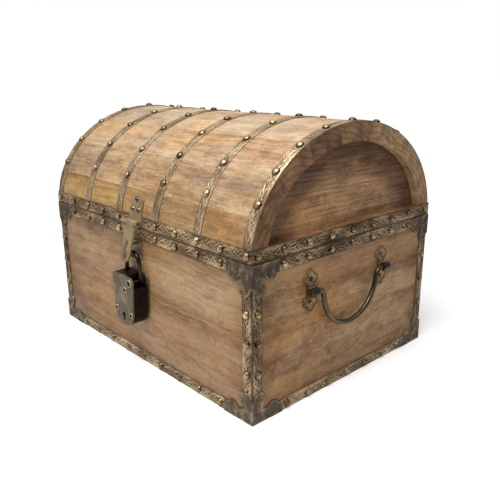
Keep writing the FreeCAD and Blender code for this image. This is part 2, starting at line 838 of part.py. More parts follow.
def base_nails():
    """Nails through the rim bands, foot strips, corner angles, hinge leaves and handle plates."""
    heads = []
    rim_z = base_height - band_width / 2
    face_y = half_depth + strip_thickness
    face_x = half_length + strip_thickness
    for x in long_row():
        if clear_of_brackets(x, half_length) and clear_of_hasp(x):
            heads.append(nail_head(vec(x, -face_y, rim_z), -Y_AXIS))
        if clear_of_brackets(x, half_length) and clear_of_hinges(x):
            heads.append(nail_head(vec(x, face_y, rim_z), Y_AXIS))
    for y in end_row():
        if clear_of_brackets(y, half_depth):
            heads.append(nail_head(vec(face_x, y, rim_z), X_AXIS))
            heads.append(nail_head(vec(-face_x, y, rim_z), -X_AXIS))
    foot_z = foot_height / 2
    for x in foot_row(half_length):
        heads.append(nail_head(vec(x, -face_y, foot_z), -Y_AXIS))
        heads.append(nail_head(vec(x, face_y, foot_z), Y_AXIS))
    for y in foot_row(half_depth):
        heads.append(nail_head(vec(face_x, y, foot_z), X_AXIS))
        heads.append(nail_head(vec(-face_x, y, foot_z), -X_AXIS))
    angle_x = half_length - angle_width / 2
    angle_y = half_depth - angle_width / 2
    for share in angle_nail_shares:
        on_back = nail_head(vec(angle_x, face_y, share * base_height), Y_AXIS)
        on_end = nail_head(vec(face_x, angle_y, share * base_height), X_AXIS)
        heads.extend(four_corners(on_back))
        heads.extend(four_corners(on_end))
    leaf_y = half_depth + hinge_leaf_thickness
    leaf_z = base_height - hinge_leaf_height / 2 - hinge_barrel_radius
    for x in hinge_places():
        for shift in (-hinge_leaf_width / 4, hinge_leaf_width / 4):
            heads.append(nail_head(vec(x + shift, leaf_y, leaf_z), Y_AXIS))
    plate_x = half_length + handle_plate_thickness
    for y in handle_places:
        for z in (handle_height - handle_lobe_z, handle_height + handle_lobe_z):
            heads.append(nail_head(vec(plate_x, y, z), X_AXIS, small_nail_share))
            heads.append(nail_head(vec(-plate_x, y, z), -X_AXIS, small_nail_share))
    return heads


def lid_nails():
    """Nails along the straps, the lid's bands and the hinge leaves."""
    heads = []
    for x in strap_places():
        for i in range(strap_nail_count):
            angle = 90 + (i - (strap_nail_count - 1) / 2) * strap_nail_step_deg
            y, z = dome_place(angle, strip_thickness)
            heads.append(nail_head(vec(x, y, z), dome_normal(angle, strip_thickness)))
    low = math.degrees(math.asin(band_width / 2 / (dome_rise + strip_thickness)))
    for x in long_row():
        for angle, clear in ((low, clear_of_hasp(x)), (180 - low, clear_of_hinges(x))):
            if clear:
                y, z = dome_place(angle, strip_thickness)
                heads.append(nail_head(vec(x, y, z), dome_normal(angle, strip_thickness)))
    face_x = half_length + strip_thickness
    for y in end_row():
        heads.append(nail_head(vec(face_x, y, lid_bottom + band_width / 2), X_AXIS))
        heads.append(nail_head(vec(-face_x, y, lid_bottom + band_width / 2), -X_AXIS))
    rise = hinge_leaf_height / 2 + hinge_barrel_radius
    leaf_angle = 180 - math.degrees(math.asin(rise / (dome_rise + hinge_leaf_thickness)))
    for x in hinge_places():
        for shift in (-hinge_leaf_width / 4, hinge_leaf_width / 4):
            y, z = dome_place(leaf_angle, hinge_leaf_thickness)
            heads.append(nail_head(vec(x + shift, y, z), dome_normal(leaf_angle, hinge_leaf_thickness)))
    return heads


def build_box():
    save("bottom_board", bottom_board())
    save("front_board", long_board(FRONT))
    save("back_board", long_board(BACK))
    save("left_board", end_board(LEFT))
    save("right_board", end_board(RIGHT))
    cap = corner_cap()
    bracket = corner_bracket()
    caps = four_corners(cap)
    brackets = four_corners(bracket)
    save("corner_caps", caps)
    save("corner_brackets", brackets)
    save("corner_angles", four_corners(corner_angle(cap, bracket)))
    for name, band in base_bands(Part.makeCompound(caps), Part.makeCompound(brackets)).items():
        save(name, band)
    save("base_nails", base_nails())
    save("base_hinge_leaves", [base_hinge_leaf(x) for x in hinge_places()])
    save("hinge_pins", [hinge_pin(x) for x in hinge_places()])
    save("hasp_staple", hasp_staple())


def build_lid():
    for index in range(stave_count):
        save("lid_stave_" + str(index + 1), stave(index))
    for name, side in (("left", LEFT), ("right", RIGHT)):
        save("lid_end_panel_" + name, lid_end_panel(side))
        save("lid_end_rail_" + name, lid_end_rail(side))
    for name, band in lid_bands().items():
        save(name, band)
    for index, x in enumerate(strap_places()):
        save("lid_strap_" + str(index + 1), strap(x))
    save("lid_nails", lid_nails())
    save("lid_hinge_leaves", [lid_hinge_leaf(x) for x in hinge_places()])
    save("hasp_plate", hasp_plate())
    save("hasp_rivets", hasp_rivets())
    save("hasp_pin", hasp_pin())
    save("hasp_strap", hasp_strap())


def build_padlock():
    back, case, front = padlock_plates()
    save("padlock_back_plate", back)
    save("padlock_case", case)
    save("padlock_front_plate", front)
    save("padlock_rivets", padlock_rivets())
    save("padlock_pin", lock_pin(lock_pin_radius))
    save("padlock_shackle", shackle())


def build_handles():
    plates = [handle_plate(y) for y in handle_places]
    save("right_handle_plates", plates)
    save("left_handle_plates", [mirrored_x(plate, LEFT) for plate in plates])
    save("right_bail", bail())
    save("left_bail", mirrored_x(bail(), LEFT))


os.makedirs("parts", exist_ok=True)
build_box()
build_lid()
build_padlock()
build_handles()
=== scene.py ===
# The looks of a wooden treasure chest: figured boards and staves, embossed metal strips, brass nail heads,
# lobed corner plates, a hasp with its padlock, and bail handles. Lengths are in metres.
import json
import math

import bmesh
import bpy
import numpy as np
from mathutils import Matrix, Vector


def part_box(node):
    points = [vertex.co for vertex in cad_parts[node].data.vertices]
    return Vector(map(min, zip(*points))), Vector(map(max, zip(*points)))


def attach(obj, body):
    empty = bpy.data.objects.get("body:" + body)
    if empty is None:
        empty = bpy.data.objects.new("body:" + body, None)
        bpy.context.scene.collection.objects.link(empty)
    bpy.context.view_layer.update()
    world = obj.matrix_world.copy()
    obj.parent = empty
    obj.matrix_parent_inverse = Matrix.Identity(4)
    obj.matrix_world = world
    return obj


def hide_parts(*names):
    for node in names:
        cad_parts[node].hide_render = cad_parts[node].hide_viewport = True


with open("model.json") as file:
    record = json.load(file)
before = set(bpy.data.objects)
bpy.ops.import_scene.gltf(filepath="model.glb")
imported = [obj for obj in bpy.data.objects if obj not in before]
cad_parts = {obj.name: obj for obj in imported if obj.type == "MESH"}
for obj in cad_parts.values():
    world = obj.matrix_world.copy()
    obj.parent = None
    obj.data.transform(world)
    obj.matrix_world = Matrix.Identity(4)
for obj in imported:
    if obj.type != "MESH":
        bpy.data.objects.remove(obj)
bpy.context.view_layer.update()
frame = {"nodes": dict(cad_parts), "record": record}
nodes = frame["nodes"]
record = frame["record"]
body_of = {node: body for body, members in record["behaviour"]["bodies"].items() for node in members}
slot_of = {row["node"]: row["material_slot"] for row in record["subparts"]}
bail_axis = next(j["pos_m"] for j in record["behaviour"]["joints"] if j["name"] == "right_bail_swing")
chance = np.random.default_rng(11)

# The chest's main sizes, read from its solids
front_low, front_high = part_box("front_board")
half_length = front_high.x
half_depth = -front_low.y
lid_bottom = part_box("lid_stave_1")[0].z
dome_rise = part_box("lid_stave_5")[1].z - lid_bottom
strip_thickness = -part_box("rim_band_front")[0].y - half_depth

# Pressed strips: the steps of their mesh, the heights of their ground and relief, the length of a leaf, and
# the waves of wear, each with its amount and its turns along, across and by phase
row_step = 0.0007
column_step = 0.0006
strip_low = 0.00045
strip_relief = 0.00085
leaf_pitch = 0.0052
wear_waves = ((0.1, 41, 0, 9), (0.07, 97, 200, 23))
fold_height = 0.0004
fold_turns_deg = (22.5, 45, 67.5)
turned_edge_level = 0.2
curve_samples = 2000
level_tolerance = 1e-5

# Nail heads: the solids are eight-sided, and these are rounder, fuller, a little uneven and unequally bright.
# Those on the foot strips and on the ends of the chest are smaller and duller; on the ends the dulling is
# painted shade. Bright crowns and dark feet are rubbed brass and dirt, and a painted highlight and shade.
cad_nail_sides = 8
nail_sides = 16
nail_rings = 6
nail_ring_angles = (0.12, 1.35)
nail_sink = 0.0007
nail_lean = 0.05
nail_growth = 1.22
nail_growth_spread = 0.04
nail_dent = 0.012
nail_fullness = 1.3
crown_fullness = 1.32
nail_polish = (0.45, 1.0)
foot_zone = 0.012
foot_polish = 0.68
foot_nail_level = 0.34
end_facing = 0.7
end_nail_shade = 0.8
end_nail_share = 0.92

# Plates: the rounding of their edges and the borders of the corner and handle plates
plate_bevel = 0.0003
bevel_segments = 2
broad_side = 6 * plate_bevel
corner_relief = {"border": 0.0014, "sink": 0.0004, "rim": 0.15}
# The handle finish is dark where relief is high: the plates' edges and border are painted shade, the eyes
# dark iron
handle_relief = {"border": 0.0006, "sink": 0.0003, "rim": 0.8, "proud": 0.003}
eye_bore = 0.00255
eye_slimming = 0.52
eye_foot = 0.0023

# The padlock's rivets, as rings: share of the radius, lift as a share of the head's height, and relief
rivet_rings = ((1.25, -0.3, 0.6), (1.25, 0.3, 1.0), (1.12, 0.5, 1.0), (0.95, 0.45, 0.7), (0.85, 0.12, 0.0),
               (0.75, 0.5, 0.0), (0.5, 0.8, 0.1), (0.22, 0.95, 0.15))

# The padlock's keyhole, as rings: how far each lies outside the hole, how far it stands out, and its relief.
# The rim and the well come first, and the back of the well after them.
# The well's zero relief is painted shade in the hole; the rim's is rubbed brass and a painted highlight.
keyhole_rings = ((0.0014, -0.0002, 0.6), (0.0014, 0.0003, 1.0), (0.0011, 0.0004, 1.0), (0.0009, 0.0003, 0.2),
                 (0.0008, 0.0001, 0.0), (-0.0001, 0.00005, 0.0), (-0.00025, -0.0005, 0.0),
                 (-0.00025, -0.0035, 0.0), (-0.0001, -0.0037, 0.0), (-0.0001, -0.0002, 0.0))
keyhole_well_rings = 8
keyhole_share = 0.22
keyhole_radius = 0.0022
keyhole_slot_half = 0.0009
keyhole_drop = 0.006
keyhole_sides = 20

# Distances and angles for cleaning, bevelling and shading meshes
weld_distance = 1e-6
flat_angle = math.radians(1)
bevel_angle = math.radians(40)
smooth_angle = math.radians(50)
nail_angle = math.radians(70)
rivet_angle = math.radians(60)
keyhole_angle = math.radians(40)

# The wood's noises: scale along and across the grain, then detail, roughness and distortion
wood_noises = {
    "broad": (4, 20, 4, 0.55, 0.6), "bands": (5, 75, 3, 0.55, 0.3), "lines": (28, 300, 4, 0.65, 0.2),
    "fibres": (90, 640, 4, 0.7, 0.0), "mottles": (60, 85, 4, 0.65, 0.4), "specks": (300, 480, 3, 0.7, 0.0),
    "hues": (5, 14, 3, 0.55, 0.5), "streaks": (4, 60, 4, 0.6, 0.5), "dashes": (48, 600, 3, 0.65, 0.0),
    "smudges": (22, 48, 3, 0.6, 0.3), "swaying": (6, 12, 2, 0.5, 0.0)}
fine_strokes = ("lines", "fibres", "dashes")
knot_cells = (11, 17)

# The wood's marks: the values between which one grows, and the tint that multiplies the colour at its full
hue_marks = ((0.5, 0.64, (0.93, 0.82, 0.74)), (0.5, 0.64, (1.06, 0.97, 0.77)),
             (0.52, 0.66, (0.84, 0.81, 0.8)))
streak_mark = (0.53, 0.68, (0.5, 0.43, 0.42))
dash_mark = (0.56, 0.66, (0.45, 0.36, 0.3))
smudge_mark = (0.64, 0.78, (0.5, 0.42, 0.36))
# The arched panels' darker edge: partly dirt, partly painted shade in their recess
recess_dirt_and_shade_mark = (0.8, 1.12, (0.4, 0.36, 0.34))
knot_tint = (0.42, 0.32, 0.27)
# The next tint is painted shade, darkening boards along their trim
trim_shade_tint = (0.5, 0.43, 0.37)
ring_tint = (0.5, 0.42, 0.35)
end_ring_tint = (0.6, 0.52, 0.45)
smudge_share = 0.45
ring_fade = 0.7
end_ring_fade = 0.8

# Values between which other parts of the wood's finish grow, or pairs of a value and a level
ringed_range = (0.38, 0.58)
knot_choice = (0.55, 0.6)
vein_strokes = (0.38, 0.6)
tone_stops = (0.38, 0.5, 0.62)
blotch_stops = (0.36, 0.5, 0.64)
ring_levels = ((0.0, 0.55), (0.12, 1.0), (0.55, 0.85), (0.86, 0.25), (0.94, 0.0), (1.0, 0.5))
knot_levels = ((0.06, 0.85), (0.14, 0.0))
trim_shade_levels = ((0.012, 0.7), (0.042, 0.0))
end_levels = ((0.75, 0.0), (0.9, 1.0))
wood_roughness = ((0.35, 0.6), (0.65, 0.42))

# How far noise moves the edges of those parts, and the wood's end rings, fine relief and gloss
knot_wander = 0.08
vein_wander = 0.035
trim_shade_wander = 0.06
rim_wander = 0.35
end_ring_wander = 1.8
end_ring_spacing = 0.0055
line_relief = 1.5
wood_bump = {"strength": 0.4, "distance": 0.0003}
wood_specular = 0.35

# Patina and specks of the metals; a noise is its detail, roughness and distortion
patina_noise = (4, 0.6, 0.3)
speck_noise = (3, 0.6, 0.0)
patina_places = (0.36, 0.6)
patina_share = 0.8
speck_scale = 900
speck_levels = ((0.3, 0.55), (0.62, 1.12))
speck_share = 0.5
worn_places = (0.2, 0.8)
metal_bump_strength = 0.5


# Pieces and meshes

def finish_shading(mesh, sharp_angle):
    mesh.polygons.foreach_set("use_smooth", [True] * len(mesh.polygons))
    mesh.set_sharp_from_angle(angle=sharp_angle)
    mesh.update()


def add_piece(name, mesh, material, *replaced, body=None, slot=None):
    """A visible piece that stands for the replaced nodes, on the same body."""
    piece = bpy.data.objects.new(name, mesh)
    bpy.context.scene.collection.objects.link(piece)
    mesh.materials.clear()
    mesh.materials.append(material)
    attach(piece, body or body_of[replaced[0]])
    if replaced:
        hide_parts(*replaced)


def finish_node(node, material):
    """A solid that is shown as it is, with a better finish."""
    mesh = nodes[node].data
    mesh.materials.clear()
    mesh.materials.append(material)


def loose_parts(node):
    """The unique points of each separate solid in a node, as arrays."""
    bm = bmesh.new()
    bm.from_mesh(nodes[node].data)
    bmesh.ops.remove_doubles(bm, verts=bm.verts, dist=weld_distance)
    bm.verts.index_update()
    seen = set()
    parts = []
    for start in bm.verts:
        if start.index in seen:
            continue
        seen.add(start.index)
        waiting = [start]
        points = []
        while waiting:
            vert = waiting.pop()
            points.append(vert.co[:])
            for edge in vert.link_edges:
                other = edge.other_vert(vert)
                if other.index not in seen:
                    seen.add(other.index)
                    waiting.append(other)
        parts.append(np.array(points))
    bm.free()
    return parts


class Shells:
    """Closed shells for one piece. Relief is a number at each point, from 0, deep and dark, to 1, proud and
    rubbed bright. On nail heads and the keyhole that dark and bright are also painted shade and a painted
    highlight."""

    def __init__(self):
        self.points = []
        self.relief = []
        self.faces = []
        self.count = 0

    def put(self, points, relief):
        """Adds points, with a relief for each or one for all, and gives the number of the first."""
        first = self.count
        points = np.reshape(points, (-1, 3))
        self.points.append(points)
        self.relief.append(np.broadcast_to(np.ravel(relief), len(points)))
        self.count += len(points)
        return first

    def join_rings(self, first, rings, sides):
        """Quads between rings of points that follow each other, from the point numbered first."""
        for low in range(first, first + (rings - 1) * sides, sides):
            for i in range(sides):
                j = (i + 1) % sides
                self.faces.append([low + i, low + j, low + sides + j, low + sides + i])

    def piece(self, name, material, *replaced, sharp_angle=smooth_angle, **where):
        mesh = bpy.data.meshes.new(name)
        mesh.from_pydata(np.concatenate(self.points).tolist(), [], self.faces)
        mesh.validate()
        relief = mesh.attributes.new("relief", "FLOAT", "POINT")
        relief.data.foreach_set("value", np.concatenate(self.relief).astype(np.float32))
        bm = bmesh.new()
        bm.from_mesh(mesh)
        bmesh.ops.recalc_face_normals(bm, faces=bm.faces)
        bm.to_mesh(mesh)
        bm.free()
        finish_shading(mesh, sharp_angle)
        add_piece(name, mesh, material, *replaced, **where)


# Embossed strips

def embossed(s, t, half_width, phase):
    """Heights from 0 to 1 of a pressed strip, at s along it and t across it: beaded edges, a wavy stem, and
    curling leaves to its two sides. Sines of unequal lengths keep the leaves from repeating."""
    edge_place, edge_width, edge_level = 0.91, 0.08, 0.5
    stem_sway, stem_width, stem_level = 0.16, 0.12, 0.75
    midrib_width, midrib_depth = 0.22, 0.4
    barb_count, barb_slant, barb_depth = 4, 0.8, 0.12
    leaf_foot, leaf_curl, leaf_taper, leaf_roundness = 0.08, 0.55, 0.6, 0.7
    # A leaf's least size, and what its vigour adds
    leaf_length, leaf_reach, leaf_breadth, leaf_level = (1.35, 0.35), (0.5, 0.16), (0.2, 0.1), (0.7, 0.3)

    def grown(size):
        return size[0] + size[1] * vigour

    turns = s[:, None] / leaf_pitch + phase
    turns = turns + 0.3 * np.sin(1.7 * turns + 9 * phase) + 0.22 * np.sin(0.61 * turns + 5 * phase)
    across = t[None, :] / half_width
    u = across + 0.07 * np.sin(2.3 * turns + 3 * phase)
    height = edge_level * np.exp(-((np.abs(across) - edge_place) / edge_width) ** 2) + 0 * turns
    stem = np.exp(-((u - stem_sway * np.sin(np.pi * turns)) / stem_width) ** 2)
    height = np.maximum(height, stem_level * stem)
    for side, shift in ((1, 0.0), (-1, 0.5)):
        for lap in (0, 1):
            number = np.floor(turns + shift) - lap
            vigour = 0.5 + 0.5 * np.sin(12.9898 * number + 40 * phase + 5 * side)
            run = ((turns + shift) % 1 + lap) / grown(leaf_length)
            middle = leaf_foot + grown(leaf_reach) * np.sin(leaf_curl * np.pi * np.clip(run, 0, 1))
            breadth = grown(leaf_breadth) * np.sin(np.pi * np.clip(run, 0.01, 0.99)) ** leaf_taper
            off = (side * u - middle) / breadth
            leaf = np.clip(1 - off ** 2, 0, 1) ** leaf_roundness
            midrib = 1 - midrib_depth * np.exp(-(off / midrib_width) ** 2)
            wave = np.cos(2 * np.pi * (barb_count * run - barb_slant * np.abs(off)))
            barbs = 1 - barb_depth + barb_depth * wave
            shown = (run < 1) * (side * u > -0.1)
            height = np.maximum(height, grown(leaf_level) * leaf * midrib * barbs * shown)
    return np.clip(height, 0, 1)


def steps(low, high, step):
    return np.linspace(low, high, max(2, int(round((high - low) / step)) + 1))


class Strips(Shells):
    """Pressed strips: a relief on top, plain sides, and a back on the surface that carries it."""

    def add(self, base, normal, height, relief, fold=None):
        """A grid of points that stand out by height from base. The back is bent at the column named fold."""
        rows, columns = height.shape
        back_columns = [0, columns - 1] if fold is None else [0, fold, columns - 1]
        first = self.put(base + normal * height[..., None], relief)
        back = self.put(base[:, back_columns], 0.0)
        grid = first + np.arange(rows * columns).reshape(rows, columns)
        under = back + np.arange(rows * len(back_columns)).reshape(rows, -1)
        self.quads(grid[:-1, :-1], grid[1:, :-1], grid[1:, 1:], grid[:-1, 1:])
        self.quads(under[:-1, 1:], under[1:, 1:], under[1:, :-1], under[:-1, :-1])
        self.quads(grid[1:, 0], grid[:-1, 0], under[:-1, 0], under[1:, 0])
        self.quads(grid[:-1, -1], grid[1:, -1], under[1:, -1], under[:-1, -1])
        self.faces.append(grid[0].tolist() + under[0, ::-1].tolist())
        self.faces.append(grid[-1, ::-1].tolist() + under[-1].tolist())

    def quads(self, *corners):
        self.faces += np.stack([c.ravel() for c in corners], -1).tolist()

    def box(self, low, high):
        """A plain closed plate, for the turned-under edge of a strip."""
        spans = list(zip(low, high))
        first = self.put([(x, y, z) for x in spans[0] for y in spans[1] for z in spans[2]], turned_edge_level)
        sides = ((0, 1, 3, 2), (4, 6, 7, 5), (0, 4, 5, 1), (2, 3, 7, 6), (0, 2, 6, 4), (1, 5, 7, 3))
        self.faces += [[first + i for i in side] for side in sides]


def pressed(s, t, half_width):
    """The height and the relief of a strip, with its phase and wear drawn by chance."""
    phase = chance.random()
    shape = embossed(s, t, half_width, phase)
    wear = sum(amount * np.sin(s[:, None] * along + t[None, :] * across + phase * shift)
               for amount, along, across, shift in wear_waves)
    return strip_low + strip_relief * shape, np.clip(shape + wear, 0, 1)


def dome_at(angle):
    """The dome's outer curve in y and z, and its normals; angle goes from 0, the front seam, to pi."""
    y = -half_depth * np.cos(angle)
    z = lid_bottom + dome_rise * np.sin(angle)
    normal = np.stack([np.zeros_like(angle), -dome_rise * np.cos(angle), half_depth * np.sin(angle)], -1)
    return y, z, normal / np.linalg.norm(normal, axis=-1, keepdims=True)


def grid_of(shape, x, y, z):
    """Points from coordinates that each fit a grid of that shape."""
    return np.stack([np.broadcast_to(np.asarray(c, float), shape) for c in (x, y, z)], -1)


def upright_strip(part, axis):
    """Places along a strip that runs along axis, 0 or 1, places up it, and the height and relief at each."""
    low, high = part.min(0), part.max(0)
    along = steps(low[axis], high[axis], row_step)
    up = steps(low[2], high[2], column_step)
    half = (high[2] - low[2]) / 2
    height, relief = pressed(along - low[axis], up - low[2] - half, half)
    return along, up, height, relief


def wall_strip(strips, part, axis, face, outward):
    """A straight strip on an upright wall that stands at face."""
    along, up, height, relief = upright_strip(part, axis)
    places = [face, face]
    places[axis] = along[:, None]
    base = grid_of(height.shape, places[0], places[1], up[None, :])
    normal = np.zeros_like(base)
    normal[..., 1 - axis] = outward
    strips.add(base, normal, height, relief)


def lid_end_strip(strips, part, outward):
    """The lid's end strip: its two ends follow the dome's curve."""
    along, up, height, relief = upright_strip(part, 1)
    narrowing = np.sqrt(1 - ((up - lid_bottom) / dome_rise) ** 2)
    base = grid_of(height.shape, outward * half_length, along[:, None] * narrowing[None, :], up[None, :])
    normal = np.zeros_like(base)
    normal[..., 0] = outward
    strips.add(base, normal, height, relief)


def lid_side_strip(strips, part):
    """The lid's front or back strip, which bends with the foot of the dome."""
    along, up, height, relief = upright_strip(part, 0)
    angle = np.arcsin((up - lid_bottom) / dome_rise)
    if part[:, 1].mean() > 0:
        angle = math.pi - angle
    y, z, normal = dome_at(angle)
    base = grid_of(height.shape, along[:, None], y[None, :], z[None, :])
    strips.add(base, np.broadcast_to(normal, base.shape), height, relief)


def strap_strip(strips, part):
    """A strap over the dome, from the lid's front strip to its back one, with even steps along the curve."""
    low, high = part.min(0), part.max(0)
    start = math.asin((low[2] - lid_bottom) / dome_rise)
    fine = np.linspace(start, math.pi - start, curve_samples)
    y, z = dome_at(fine)[:2]
    run = np.concatenate([[0], np.cumsum(np.hypot(np.diff(y), np.diff(z)))])
    along = steps(0, run[-1], row_step)
    y, z, normal = dome_at(np.interp(along, run, fine))
    across = steps(low[0], high[0], column_step)
    half = (high[0] - low[0]) / 2
    height, relief = pressed(along, across - low[0] - half, half)
    base = grid_of(height.shape, across[None, :], y[:, None], z[:, None])
    strips.add(base, np.broadcast_to(normal[:, None, :], base.shape), height, relief)


def angle_strip(strips, part):
    """A corner angle: two leaves of strip that meet in a dark fold on the box's upright edge."""
    low, high = part.min(0), part.max(0)
    side_x = math.copysign(1, part[:, 0].mean())
    side_y = math.copysign(1, part[:, 1].mean())
    width = (high[0] - low[0]) - strip_thickness
    along = steps(low[2], high[2], row_step)
    inset = steps(0, width, column_step)
    half = width / 2
    first, first_relief = pressed(along, inset[::-1] - half, half)
    second, second_relief = pressed(along, inset - half, half)
    turns = np.radians(fold_turns_deg)
    fold = np.full((len(along), len(turns)), fold_height)
    height = np.concatenate([first, fold, second], 1)
    relief = np.concatenate([first_relief, fold * 0, second_relief], 1)
    on_edge = np.zeros(len(turns))
    x = side_x * (half_length - np.concatenate([inset[::-1], on_edge, inset * 0]))
    y = side_y * (half_depth - np.concatenate([inset * 0, on_edge, inset]))
    base = grid_of(height.shape, x[None, :], y[None, :], along[:, None])
    lean = np.concatenate([inset * 0, turns, inset * 0 + math.pi / 2])
    normal = np.stack([side_x * np.sin(lean), side_y * np.cos(lean), lean * 0], -1)
    strips.add(base, np.broadcast_to(normal, base.shape), height, relief, fold=len(inset))


def foot_strip(strips, part, axis, face, outward):
    """A foot strip: its upright face between the corner caps, and the plain edge turned under the board."""
    low, high = part.min(0), part.max(0)
    upright = part[part[:, 2] > high[2] - level_tolerance]
    wall_strip(strips, np.concatenate([upright, upright - [0, 0, high[2] - low[2]]]), axis, face, outward)
    under_low, under_high = low.copy(), high.copy()
    under_high[2] = low[2] + strip_thickness
    inner = under_high if outward > 0 else under_low
    inner[1 - axis] = face
    strips.box(under_low, under_high)


def strip_piece(name, material, node, build, *where):
    """One piece of all the strips in a node, each of which build makes."""
    strips = Strips()
    for part in loose_parts(node):
        build(strips, part, *where)
    strips.piece(name, material, node)


def make_strips(metals):
    """All the strips, in the order in which their phases are drawn."""
    walls = {"front": (0, -half_depth, -1), "back": (0, half_depth, 1),
             "left": (1, -half_length, -1), "right": (1, half_length, 1)}
    for side, wall in walls.items():
        axis, face, outward = wall
        # The end walls' strips take a darker copy of the strip finish, as painted shade
        band = metals["strip"] if axis == 0 else metals["shaded_strip"]
        strip_piece("rim_strip_" + side, band, "rim_band_" + side, wall_strip, *wall)
        strip_piece("foot_strip_" + side, metals["foot"], "foot_band_" + side, foot_strip, *wall)
        if axis == 0:
            strip_piece("lid_strip_" + side, band, "lid_band_" + side, lid_side_strip)
        else:
            strip_piece("lid_strip_" + side, band, "lid_band_" + side, lid_end_strip, outward)
    for node in sorted(n for n in nodes if n.startswith("lid_strap_")):
        strip_piece(node.replace("strap", "curved_strip"), metals["strap"], node, strap_strip)
    # The corner strips take the darker copy too, as painted shade
    strip_piece("corner_strips", metals["shaded_strip"], "corner_angles", angle_strip)


# Nail heads, rivets and the keyhole

def nail_places(node):
    """Base centre, outward normal, radius and height of each nail head in a node of eight-sided heads."""
    for part in loose_parts(node):
        order = np.argsort(np.linalg.norm(part - part.mean(0), axis=1))
        top = part[order[:cad_nail_sides]].mean(0)
        rim = part[order[-cad_nail_sides:]]
        base = rim.mean(0)
        rise = np.linalg.norm(top - base)
        radius = np.linalg.norm(rim - base, axis=1).mean()
        yield base, (top - base) / rise, radius, rise


def make_nails(node, name, material):
    """A node's nail heads: domes that are bright on top and dark at the foot, as rubbed brass and dirt and
    also as a painted highlight and painted shade.
    """
    heads = Shells()
    angle = np.linspace(0, 2 * math.pi, nail_sides, endpoint=False)
    for base, normal, radius, rise in nail_places(node):
        lean = Vector(chance.normal(0, nail_lean, 3))
        facing = (Vector(normal) + lean).normalized().to_track_quat("Z", "Y").to_matrix()
        size = radius * chance.normal(nail_growth, nail_growth_spread)
        polish = chance.uniform(*nail_polish)
        level = 0.0
        if base[2] < foot_zone:
            polish *= foot_polish
            level = foot_nail_level
            size *= end_nail_share
        # Nails on the chest's ends are dulled as painted shade
        elif abs(normal[0]) > end_facing:
            polish *= end_nail_shade
            size *= end_nail_share
        rings = [(1.0, -nail_sink / rise)]
        rings += [(math.cos(a), math.sin(a)) for a in np.linspace(*nail_ring_angles, nail_rings)]
        head = []
        for share, lift in rings:
            dent = 1 + chance.normal(0, nail_dent, nail_sides)
            head.append(np.stack([size * share * dent * np.cos(angle), size * share * dent * np.sin(angle),
                                  np.full(nail_sides, rise * nail_fullness * lift)], -1))
        local = np.concatenate(head + [[(0, 0, rise * crown_fullness)]])
        lifts = np.append(np.repeat([lift for share, lift in rings], nail_sides), 1.0)
        first = heads.put(local @ np.array(facing).T + base, level + (polish - level) * np.clip(lifts, 0, 1))
        heads.join_rings(first, len(rings), nail_sides)
        crown = first + len(local) - 1
        last = crown - nail_sides
        heads.faces += [[last + i, last + (i + 1) % nail_sides, crown] for i in range(nail_sides)]
        heads.faces.append([first + i for i in range(nail_sides)][::-1])
    heads.piece(name, material, node, sharp_angle=nail_angle)


def make_rivets(node, name, material):
    """A padlock's rivets: a dark domed head in a raised bright ring, on the face that each stands on."""
    heads = Shells()
    case_low, case_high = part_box("padlock_case")
    case_middle = (case_low.y + case_high.y) / 2
    angle = np.linspace(0, 2 * math.pi, nail_sides, endpoint=False)
    for part in loose_parts(node):
        low, high = part.min(0), part.max(0)
        middle = (low + high) / 2
        radius = (high[0] - low[0]) / 2
        outward = math.copysign(1, middle[1] - case_middle)
        seat = low[1] if outward > 0 else high[1]
        rise = high[1] - low[1]
        first = heads.count
        for share, lift, level in rivet_rings:
            last = heads.put(np.stack([middle[0] + radius * share * np.cos(angle),
                                       np.full(nail_sides, seat + outward * rise * lift),
                                       middle[2] + radius * share * np.sin(angle)], -1), level)
        heads.join_rings(first, len(rivet_rings), nail_sides)
        heads.faces.append([first + i for i in range(nail_sides)][::-1])
        heads.faces.append([last + i for i in range(nail_sides)])
    heads.piece(name, material, node, sharp_angle=rivet_angle)


def make_keyhole(name, material):
    """The padlock's keyhole: a bright rim round a dark well that goes down into the hole in its face. The
    well's dark is painted shade, and the rim's brightness is rubbed brass and a painted highlight.
    """
    low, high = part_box("padlock_front_plate")
    middle_z = low.z + keyhole_share * (high.z - low.z)
    hole = Shells()
    for grow, lift, level in keyhole_rings:
        radius = keyhole_radius + grow
        half_slot = keyhole_slot_half + grow
        reach = math.acos(half_slot / radius)
        angle = np.linspace(-reach, math.pi + reach, keyhole_sides)
        x = np.append(radius * np.cos(angle), [-half_slot, half_slot])
        z = np.append(radius * np.sin(angle), [-keyhole_drop - grow] * 2)
        last = hole.put(np.stack([x, np.full(len(x), low.y - lift), middle_z + z], -1), level)
    sides = keyhole_sides + 2
    back = keyhole_well_rings * sides
    hole.join_rings(0, keyhole_well_rings, sides)
    hole.join_rings(back, len(keyhole_rings) - keyhole_well_rings, sides)
    hole.faces.append([back - sides + i for i in range(sides)])
    hole.faces.append([back + i for i in range(sides)])
    for i in range(sides):
        j = (i + 1) % sides
        hole.faces.append([last + i, last + j, j, i])
    hole.piece(name, material, sharp_angle=keyhole_angle, body="padlock", slot=slot_of["padlock_rivets"])


# Plates with softened edges

def slim_eye(vert):
    """Draws a point of a handle's eye closer to the bail that turns in it."""
    if abs(vert.co.x) < half_length + eye_foot:
        return
    axis = Vector((math.copysign(bail_axis[0], vert.co.x), vert.co.y, bail_axis[2]))
    off = vert.co - axis
    if off.length > eye_bore:
        vert.co = axis + off * (eye_bore + eye_slimming * (off.length - eye_bore)) / off.length


